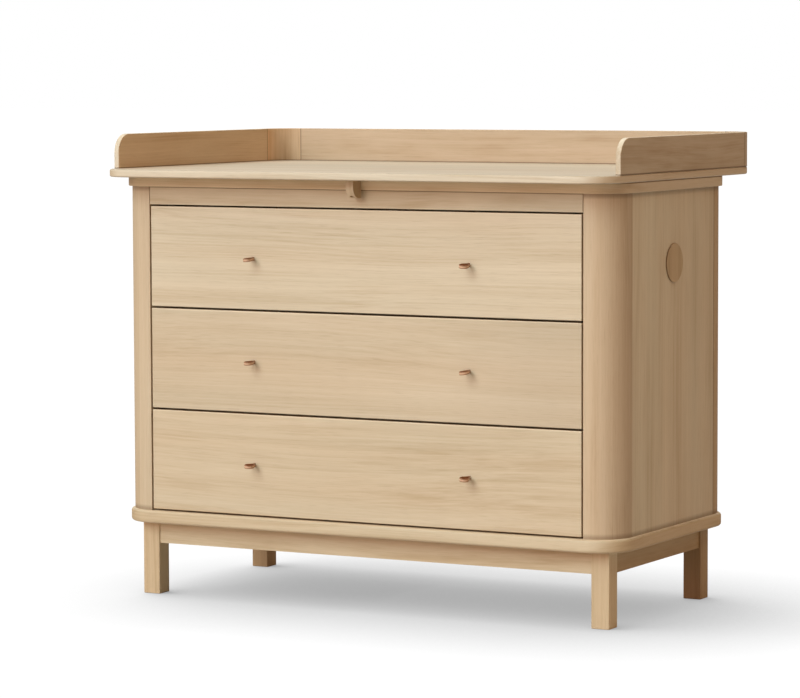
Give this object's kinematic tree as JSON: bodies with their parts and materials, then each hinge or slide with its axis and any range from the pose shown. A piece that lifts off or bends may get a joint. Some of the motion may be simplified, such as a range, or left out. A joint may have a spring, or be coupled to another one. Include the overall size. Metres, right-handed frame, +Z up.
{
  "type": "nursery dresser",
  "caption": "Oak nursery dresser with quarter-round corners, inset drawers on telescopic runners, leather loop pulls, square legs and a lift-off changing top with a low rim.",
  "frame": {"origin": "on the floor, under the middle of the whole piece's width and depth", "axes": "+X to the right as seen from the front, +Y to the back, +Z up; drawers open towards -Y"},
  "size_m": [1.13, 0.72, 0.9385],
  "materials": {
    "oak": "pale natural oak, matt lacquer",
    "drawer_box_oak": "pale oak, clear lacquer",
    "back_panel_oak": "oak veneered board",
    "batten_wood": "planed softwood",
    "leather": "cognac vegetable-tanned leather",
    "runner_steel": "zinc plated",
    "screw_steel": "zinc plated"
  },
  "bodies": {
    "carcass": {"base_panel": "oak", "dresser_top": "oak", "side_panel_left": "oak", "side_panel_right": "oak", "corner_post_left": "oak", "corner_post_right": "oak", "rear_stile_left": "oak", "rear_stile_right": "oak", "side_inlay_left": "oak", "side_inlay_right": "oak", "top_rail": "oak", "back_panel": "back_panel_oak", "back_panel_screws": "screw_steel", "runner_battens": "batten_wood", "cabinet_rails": "runner_steel", "leg_front_left": "oak", "leg_front_right": "oak", "leg_rear_left": "oak", "leg_rear_right": "oak", "apron_front": "oak", "apron_rear": "oak", "apron_side_left": "oak", "apron_side_right": "oak", "leg_bolts": "screw_steel"},
    "changing_top": {"changing_board": "oak", "rim_left": "oak", "rim_right": "oak", "rim_back": "oak", "rim_corner_left": "oak", "rim_corner_right": "oak", "stop_block": "oak", "changing_top_screws": "screw_steel"},
    "drawer_bottom": {"drawer_front_bottom": "oak", "drawer_side_left_bottom": "drawer_box_oak", "drawer_side_right_bottom": "drawer_box_oak", "drawer_back_bottom": "drawer_box_oak", "drawer_floor_bottom": "drawer_box_oak", "drawer_rails_bottom": "runner_steel", "pulls_bottom": "leather", "pull_screws_bottom": "screw_steel"},
    "runners_bottom": {"middle_rails_bottom": "runner_steel"},
    "drawer_middle": {"drawer_front_middle": "oak", "drawer_side_left_middle": "drawer_box_oak", "drawer_side_right_middle": "drawer_box_oak", "drawer_back_middle": "drawer_box_oak", "drawer_floor_middle": "drawer_box_oak", "drawer_rails_middle": "runner_steel", "pulls_middle": "leather", "pull_screws_middle": "screw_steel"},
    "runners_middle": {"middle_rails_middle": "runner_steel"},
    "drawer_top": {"drawer_front_top": "oak", "drawer_side_left_top": "drawer_box_oak", "drawer_side_right_top": "drawer_box_oak", "drawer_back_top": "drawer_box_oak", "drawer_floor_top": "drawer_box_oak", "drawer_rails_top": "runner_steel", "pulls_top": "leather", "pull_screws_top": "screw_steel"},
    "runners_top": {"middle_rails_top": "runner_steel"}
  },
  "joints": [
    {"name": "changing_top_lift", "type": "slide", "parent": "carcass", "child": "changing_top", "axis": [0, 0, 1], "range_m": [0, 0.15]},
    {"name": "drawer_bottom_slide", "type": "slide", "parent": "carcass", "child": "drawer_bottom", "axis": [0, -1, 0], "range_m": [0, 0.45]},
    {"name": "runners_bottom_slide", "type": "slide", "parent": "carcass", "child": "runners_bottom", "axis": [0, -1, 0], "range_m": [0, 0.225]},
    {"name": "drawer_middle_slide", "type": "slide", "parent": "carcass", "child": "drawer_middle", "axis": [0, -1, 0], "range_m": [0, 0.45]},
    {"name": "runners_middle_slide", "type": "slide", "parent": "carcass", "child": "runners_middle", "axis": [0, -1, 0], "range_m": [0, 0.225]},
    {"name": "drawer_top_slide", "type": "slide", "parent": "carcass", "child": "drawer_top", "axis": [0, -1, 0], "range_m": [0, 0.45]},
    {"name": "runners_top_slide", "type": "slide", "parent": "carcass", "child": "runners_top", "axis": [0, -1, 0], "range_m": [0, 0.225]}
  ],
  "couplings": [
    {"joint": "runners_bottom_slide", "follows": "drawer_bottom_slide", "ratio": 0.5},
    {"joint": "runners_middle_slide", "follows": "drawer_middle_slide", "ratio": 0.5},
    {"joint": "runners_top_slide", "follows": "drawer_top_slide", "ratio": 0.5}
  ]
}
